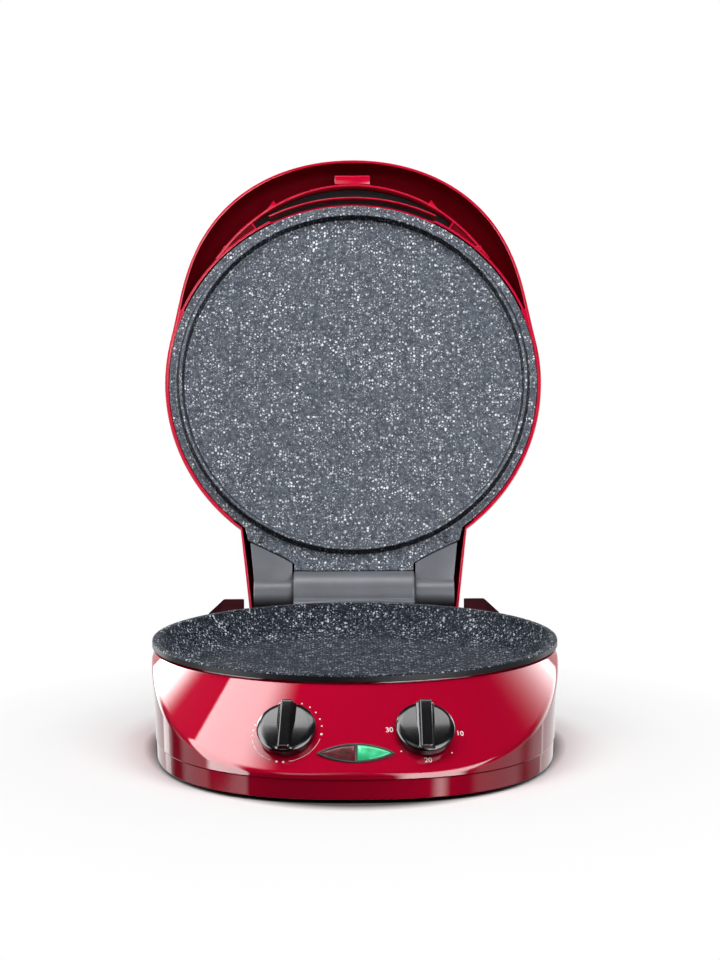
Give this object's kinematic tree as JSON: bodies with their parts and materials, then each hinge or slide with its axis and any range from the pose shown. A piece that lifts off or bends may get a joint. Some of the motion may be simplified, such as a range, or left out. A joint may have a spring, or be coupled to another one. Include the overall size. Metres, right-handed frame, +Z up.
{
  "type": "electric pie maker",
  "caption": "Countertop pie maker: round base with sloped panel, dials and lamp lenses, fixed coated pan, and a hinged lid with an upper plate and hood-like handle, shown open.",
  "frame": {"origin": "on the round pan's upright axis, at the flat underside of the base cover's central pad, 3 mm above the surface that the feet stand on", "axes": "+Z up, -Y towards the control panel (the front), +X to the right as seen from the front"},
  "size_m": [0.346, 0.5895, 0.4789],
  "materials": {
    "red_lacquer": "glossy metallic red lacquer",
    "granite_coating": "dark stone-look non-stick coating with pale speckles",
    "grey_plastic": "satin dark grey moulding",
    "black_plastic": "glossy black moulding",
    "bright_steel": "plain bright steel",
    "black_steel": "dark heat-stained steel tube",
    "rubber": "soft black rubber",
    "red_lens": "clear dark red plastic",
    "green_lens": "clear green plastic, lit",
    "pale_ceramic": "pale heat-resistant moulding",
    "lamp_glass": "clear glass tube"
  },
  "bodies": {
    "base": {"base_shell": "red_lacquer", "base_cover": "black_plastic", "foot_front_left": "rubber", "foot_front_right": "rubber", "foot_rear_left": "rubber", "foot_rear_right": "rubber", "cover_screw_front_left": "bright_steel", "cover_screw_front_right": "bright_steel", "cover_screw_rear_left": "bright_steel", "cover_screw_rear_right": "bright_steel", "lower_pan": "granite_coating", "lower_heating_element": "black_steel", "lower_heat_shield": "bright_steel", "thermal_fuse": "bright_steel", "terminal_block": "pale_ceramic", "cord_gland": "black_plastic", "thermostat_body": "pale_ceramic", "timer_body": "pale_ceramic", "timer_bell": "bright_steel", "indicator_bezel": "black_plastic", "red_lens": "red_lens", "green_lens": "green_lens", "lamp_holder": "pale_ceramic", "red_lamp": "lamp_glass", "green_lamp": "lamp_glass", "hinge_block": "grey_plastic", "hinge_pin_left": "bright_steel", "hinge_pin_right": "bright_steel", "rear_stand_left": "red_lacquer", "rear_stand_right": "red_lacquer"},
    "lid": {"lid_shell": "red_lacquer", "lid_rim_wall": "red_lacquer", "handle_inner_wall": "red_lacquer", "handle_catch": "red_lacquer", "vent_insert": "black_plastic", "vent_rib": "red_lacquer", "lid_frame": "grey_plastic", "plate_carrier": "black_plastic", "lid_plate": "granite_coating", "upper_heating_element": "black_steel", "upper_heat_shield": "bright_steel", "plate_screw_left": "bright_steel", "plate_screw_right": "bright_steel"},
    "thermostat_control": {"thermostat_knob": "black_plastic", "thermostat_shaft": "bright_steel"},
    "timer_control": {"timer_knob": "black_plastic", "timer_shaft": "bright_steel"}
  },
  "joints": [
    {"name": "lid_hinge", "type": "hinge", "parent": "base", "child": "lid", "pos_m": [0, 0.1995, 0.089], "axis": [1, 0, 0], "range_deg": [0, 110.4]},
    {"name": "thermostat_turn", "type": "hinge", "parent": "base", "child": "thermostat_control", "pos_m": [-0.05368, -0.19358, 0.04713], "axis": [0.0994, 0.7075, -0.6997], "range_deg": [0, 285]},
    {"name": "timer_turn", "type": "hinge", "parent": "base", "child": "timer_control", "pos_m": [0.05368, -0.19358, 0.04713], "axis": [-0.0994, 0.7075, -0.6997], "range_deg": [0, 270]}
  ]
}
